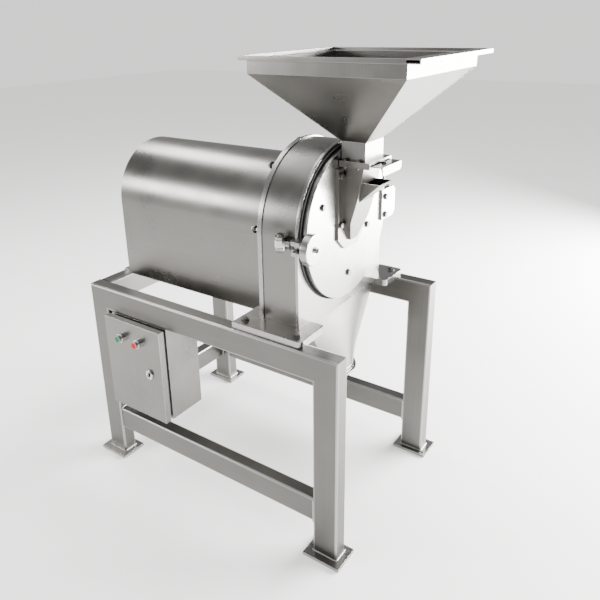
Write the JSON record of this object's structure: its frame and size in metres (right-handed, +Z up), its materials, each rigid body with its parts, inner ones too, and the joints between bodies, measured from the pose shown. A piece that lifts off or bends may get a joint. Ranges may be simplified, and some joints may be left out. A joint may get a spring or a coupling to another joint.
{
  "type": "hammer mill",
  "caption": "Stainless hammer mill on a tubular stand: square feed hopper and gate on a hinged round door, covered motor behind, cone discharge below, side control box.",
  "frame": {"origin": "on the floor at the centre of the four anchor holes, midway between the legs", "axes": "+X towards the door side, along the rotor shaft; +Y to the door's hinge side; -Y is the operator's side with the control box; +Z up"},
  "size_m": [1.149, 0.731, 1.414],
  "materials": {
    "stainless_sheet": "brushed stainless sheet",
    "stainless_tube": "brushed stainless tube with ground welds",
    "stainless_plate": "brushed stainless plate",
    "bright_bolts": "plain stainless fasteners",
    "ground_steel": "ground steel",
    "hard_steel": "hardened wear steel",
    "cast_housing": "painted cast iron",
    "motor_paint": "satin motor enamel",
    "black_rubber": "moulded rubber",
    "black_plastic": "moulded plastic",
    "green_plastic": "moulded button cap",
    "red_plastic": "moulded button cap"
  },
  "bodies": {
    "root": {"leg_front_left": "stainless_tube", "leg_front_right": "stainless_tube", "leg_rear_left": "stainless_tube", "leg_rear_right": "stainless_tube", "top_rail_left": "stainless_tube", "top_rail_right": "stainless_tube", "top_rail_rear": "stainless_tube", "lower_rail_left": "stainless_tube", "lower_rail_right": "stainless_tube", "lower_rail_rear": "stainless_tube", "foot_plates": "stainless_plate", "mounting_plates": "stainless_plate", "frame_bolts": "bright_bolts", "chamber_shell": "stainless_sheet", "chamber_front_plate": "stainless_plate", "chamber_back_plate": "stainless_plate", "breaker_liner": "hard_steel", "screen": "hard_steel", "bearing_housing": "cast_housing", "rotor_bearings": "ground_steel", "motor_body": "motor_paint", "motor_fan_cover": "motor_paint", "motor_base": "stainless_plate", "motor_cover": "stainless_sheet", "discharge_hopper": "stainless_sheet", "outlet_collar": "stainless_sheet", "hinge_lugs": "stainless_plate", "pivot_pins": "ground_steel", "lock_lugs": "stainless_plate", "control_box_body": "stainless_sheet", "cable_glands": "black_plastic", "control_gear": "black_plastic"},
    "rotor": {"rotor_shaft": "ground_steel", "rotor_discs": "hard_steel", "hammer_pins": "ground_steel", "shaft_coupling": "cast_housing", "coupling_spider": "black_rubber", "motor_shaft": "ground_steel", "motor_fan": "black_plastic"},
    "hammer_row_1": {"hammers_1": "hard_steel"},
    "hammer_row_2": {"hammers_2": "hard_steel"},
    "hammer_row_3": {"hammers_3": "hard_steel"},
    "hammer_row_4": {"hammers_4": "hard_steel"},
    "door": {"door_hinge_plate": "stainless_plate", "door_disc": "stainless_plate", "door_seal": "black_rubber", "door_fork": "stainless_plate", "feed_chute": "stainless_sheet", "air_scoop": "stainless_sheet", "door_bolts": "bright_bolts", "hopper": "stainless_sheet", "hopper_rim": "stainless_sheet"},
    "gate": {"slide_gate": "stainless_sheet"},
    "swing_bolt": {"swing_bolt": "ground_steel"},
    "handwheel": {"lock_handwheel": "stainless_plate"},
    "box_door": {"control_box_door": "stainless_sheet", "button_bodies": "black_plastic"},
    "start_button": {"green_button": "green_plastic"},
    "stop_button": {"red_button": "red_plastic"},
    "door_lock": {"cam_lock": "bright_bolts"}
  },
  "joints": [
    {"name": "rotor_spin", "type": "hinge", "parent": "root", "child": "rotor", "pos_m": [0, 0, 0.932], "axis": [1, 0, 0], "continuous": true},
    {"name": "hammer_swing_1", "type": "hinge", "parent": "rotor", "child": "hammer_row_1", "pos_m": [0.25, 0.06717, 0.99918], "axis": [1, 0, 0], "range_deg": [0, 120]},
    {"name": "hammer_swing_2", "type": "hinge", "parent": "rotor", "child": "hammer_row_2", "pos_m": [0.25, -0.06717, 0.99918], "axis": [1, 0, 0], "range_deg": [-120, 0]},
    {"name": "hammer_swing_3", "type": "hinge", "parent": "rotor", "child": "hammer_row_3", "pos_m": [0.25, -0.06717, 0.86482], "axis": [1, 0, 0], "range_deg": [-105, 15]},
    {"name": "hammer_swing_4", "type": "hinge", "parent": "rotor", "child": "hammer_row_4", "pos_m": [0.25, 0.06717, 0.86482], "axis": [1, 0, 0], "range_deg": [-15, 105]},
    {"name": "door_swing", "type": "hinge", "parent": "root", "child": "door", "pos_m": [0.322, 0.268, 0.93], "axis": [0, 0, 1], "range_deg": [0, 110]},
    {"name": "swing_bolt_turn", "type": "hinge", "parent": "root", "child": "swing_bolt", "pos_m": [0.27, -0.262, 0.935], "axis": [0, 0, 1], "range_deg": [-100, 0]},
    {"name": "handwheel_turn", "type": "hinge", "parent": "swing_bolt", "child": "handwheel", "pos_m": [0.37, -0.262, 0.935], "axis": [1, 0, 0], "continuous": true},
    {"name": "gate_slide", "type": "slide", "parent": "door", "child": "gate", "axis": [1, 0, 0], "range_m": [0, 0.072]},
    {"name": "box_door_swing", "type": "hinge", "parent": "root", "child": "box_door", "pos_m": [-0.388, -0.338, 0.42], "axis": [0, 0, -1], "range_deg": [0, 110]},
    {"name": "start_button_press", "type": "slide", "parent": "box_door", "child": "start_button", "axis": [0, 1, 0], "range_m": [0, 0.004], "stiffness_N_per_m": 400},
    {"name": "stop_button_press", "type": "slide", "parent": "box_door", "child": "stop_button", "axis": [0, 1, 0], "range_m": [0, 0.004], "stiffness_N_per_m": 400},
    {"name": "cam_lock_turn", "type": "hinge", "parent": "box_door", "child": "door_lock", "pos_m": [-0.194, -0.357, 0.423], "axis": [0, 1, 0], "range_deg": [0, 90]}
  ],
  "couplings": [
    {"joint": "swing_bolt_turn", "follows": "door_swing", "ratio": -0.9}
  ]
}
